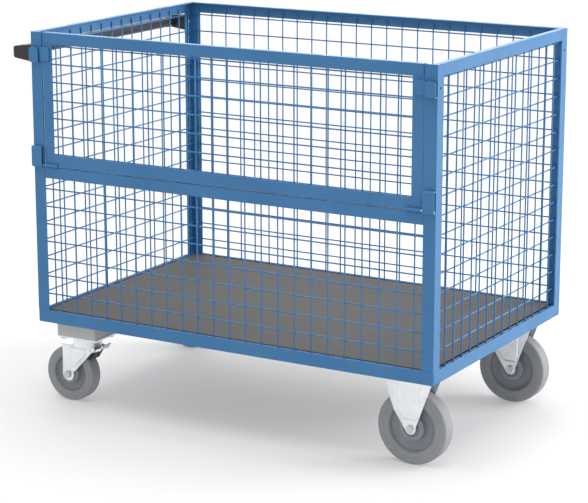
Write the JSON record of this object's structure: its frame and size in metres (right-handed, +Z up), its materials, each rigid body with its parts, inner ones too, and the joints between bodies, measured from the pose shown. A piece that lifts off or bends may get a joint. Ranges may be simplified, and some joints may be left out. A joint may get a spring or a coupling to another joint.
{
  "type": "mesh-sided platform cart",
  "caption": "Platform cart with a wooden deck, wire-mesh walls, a fold-down upper front wall, a push handle, and braked swivel and fixed castors.",
  "frame": {"origin": "floor level, middle of the footprint's bounding box", "axes": "+X along the length away from the push handle, +Y from the fold-down wall to the back wall, +Z up"},
  "size_m": [1.314, 0.812, 1.065],
  "materials": {
    "blue_paint": "semi-gloss powder coat",
    "zinc_sheet": "bright zinc plated pressed steel",
    "fastener": "zinc plated",
    "tyre": "grey elastic rubber",
    "rim": "moulded polyamide",
    "bush": "moulded",
    "black_plastic": "fine grained",
    "brake_shoe": "moulded",
    "deck": "phenolic film faced plywood",
    "spacer": "satin beige grey"
  },
  "bodies": {
    "frame": {"skirt_front": "blue_paint", "skirt_back": "blue_paint", "skirt_left": "blue_paint", "skirt_right": "blue_paint", "cross_bars": "blue_paint", "deck_panel": "deck", "deck_screws": "fastener", "post_front_left": "blue_paint", "post_front_right": "blue_paint", "post_back_left": "blue_paint", "post_back_right": "blue_paint", "top_rail_back": "blue_paint", "top_rail_left": "blue_paint", "top_rail_right": "blue_paint", "front_mid_rail": "blue_paint", "mesh_back": "blue_paint", "mesh_left": "blue_paint", "mesh_right": "blue_paint", "mesh_front_lower": "blue_paint", "catch_hooks": "blue_paint", "hinge_straps": "blue_paint", "handle_bar": "black_plastic", "handle_brackets": "black_plastic", "handle_screws": "fastener", "spacer_blocks": "spacer", "castor_bolts": "fastener", "castor_nuts": "fastener", "swivel_plates": "zinc_sheet", "swivel_kingpins": "fastener", "swivel_ball_rings": "fastener", "fixed_forks": "zinc_sheet", "fixed_axles": "fastener"},
    "hinge_pins": {"hinge_pins": "fastener"},
    "flap": {"flap_top_rail": "blue_paint", "flap_bottom_rail": "blue_paint", "flap_stile_left": "blue_paint", "flap_stile_right": "blue_paint", "flap_mesh": "blue_paint", "flap_tabs": "blue_paint"},
    "swivel_front": {"swivel_fork_front": "zinc_sheet", "swivel_axle_front": "fastener"},
    "brake_front": {"brake_pedal_front": "zinc_sheet", "brake_shoe_front": "brake_shoe"},
    "swivel_wheel_front": {"swivel_tyre_front": "tyre", "swivel_rim_front": "rim", "swivel_bush_front": "bush"},
    "swivel_rear": {"swivel_fork_rear": "zinc_sheet", "swivel_axle_rear": "fastener"},
    "brake_rear": {"brake_pedal_rear": "zinc_sheet", "brake_shoe_rear": "brake_shoe"},
    "swivel_wheel_rear": {"swivel_tyre_rear": "tyre", "swivel_rim_rear": "rim", "swivel_bush_rear": "bush"},
    "fixed_wheel_front": {"fixed_tyre_front": "tyre", "fixed_rim_front": "rim", "fixed_bush_front": "bush"},
    "fixed_wheel_rear": {"fixed_tyre_rear": "tyre", "fixed_rim_rear": "rim", "fixed_bush_rear": "bush"}
  },
  "joints": [
    {"name": "flap_lift", "type": "slide", "parent": "frame", "child": "hinge_pins", "axis": [0, 0, 1], "range_m": [0, 0.044]},
    {"name": "flap_fold", "type": "hinge", "parent": "hinge_pins", "child": "flap", "pos_m": [0, -0.3985, 0.69775], "axis": [1, 0, 0], "range_deg": [0, 180]},
    {"name": "swivel_front_turn", "type": "hinge", "parent": "frame", "child": "swivel_front", "pos_m": [-0.489, -0.304, 0.187], "axis": [0, 0, 1], "continuous": true},
    {"name": "swivel_wheel_front_spin", "type": "hinge", "parent": "swivel_front", "child": "swivel_wheel_front", "pos_m": [-0.539, -0.304, 0.08], "axis": [0, 1, 0], "continuous": true},
    {"name": "brake_front_press", "type": "hinge", "parent": "swivel_front", "child": "brake_front", "pos_m": [-0.463, -0.304, 0.158], "axis": [0, 1, 0], "range_deg": [0, 8.5]},
    {"name": "swivel_rear_turn", "type": "hinge", "parent": "frame", "child": "swivel_rear", "pos_m": [-0.489, 0.316, 0.187], "axis": [0, 0, 1], "continuous": true},
    {"name": "swivel_wheel_rear_spin", "type": "hinge", "parent": "swivel_rear", "child": "swivel_wheel_rear", "pos_m": [-0.539, 0.316, 0.08], "axis": [0, 1, 0], "continuous": true},
    {"name": "brake_rear_press", "type": "hinge", "parent": "swivel_rear", "child": "brake_rear", "pos_m": [-0.463, 0.316, 0.158], "axis": [0, 1, 0], "range_deg": [0, 8.5]},
    {"name": "fixed_wheel_front_spin", "type": "hinge", "parent": "frame", "child": "fixed_wheel_front", "pos_m": [0.557, -0.304, 0.1], "axis": [0, 1, 0], "continuous": true},
    {"name": "fixed_wheel_rear_spin", "type": "hinge", "parent": "frame", "child": "fixed_wheel_rear", "pos_m": [0.557, 0.316, 0.1], "axis": [0, 1, 0], "continuous": true}
  ]
}
